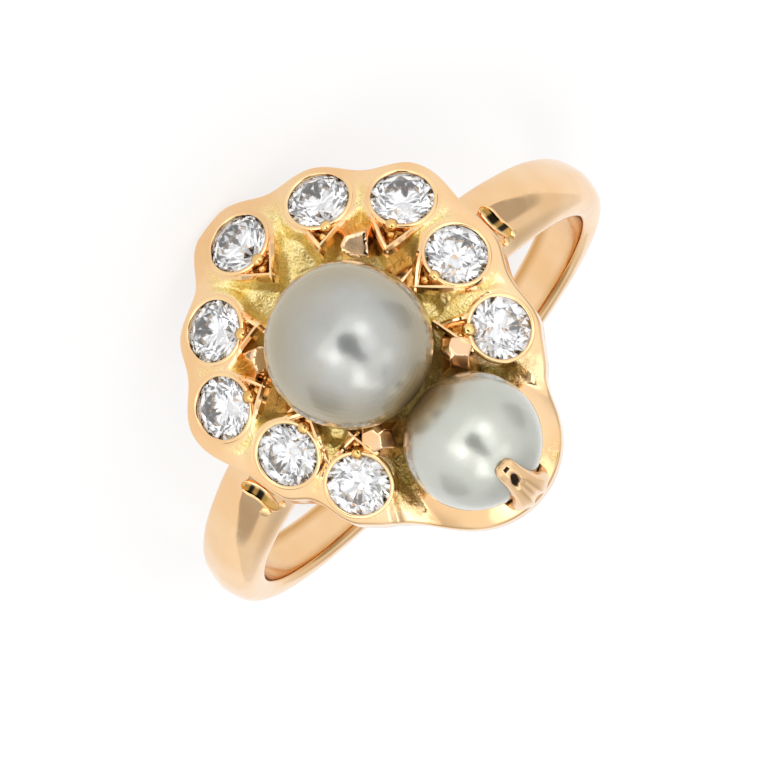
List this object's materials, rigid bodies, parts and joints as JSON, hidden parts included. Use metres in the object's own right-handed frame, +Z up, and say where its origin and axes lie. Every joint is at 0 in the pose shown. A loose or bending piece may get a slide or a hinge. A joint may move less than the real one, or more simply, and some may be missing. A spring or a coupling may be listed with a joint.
{
  "type": "pearl ring",
  "caption": "Gold finger ring whose domed, scalloped head carries grey pearls of unequal size, one under a long curved claw, inside a border of flush-set round brilliants.",
  "frame": {"origin": "centre of the finger hole", "axes": "the ring lies on its side with +Z up; +Y runs from the head to the back of the band; +X is to the right seen from the head's side; the finger hole's axis leans from +Z towards +Y by 19.37 degrees; the table is at Z -3.81 mm"},
  "size_m": [0.0196, 0.0241, 0.0157],
  "materials": {
    "gold": "polished 18 carat gold, matt in the hollows between the stones",
    "large_pearl": "silver grey pearl lustre",
    "small_pearl": "green grey pearl lustre",
    "diamond": "polished brilliant cut"
  },
  "bodies": {
    "root": {"gold_mount": "gold", "large_pearl": "large_pearl", "small_pearl": "small_pearl", "diamond_1": "diamond", "diamond_2": "diamond", "diamond_3": "diamond", "diamond_4": "diamond", "diamond_5": "diamond", "diamond_6": "diamond", "diamond_7": "diamond", "diamond_8": "diamond", "diamond_9": "diamond"}
  },
  "joints": []
}
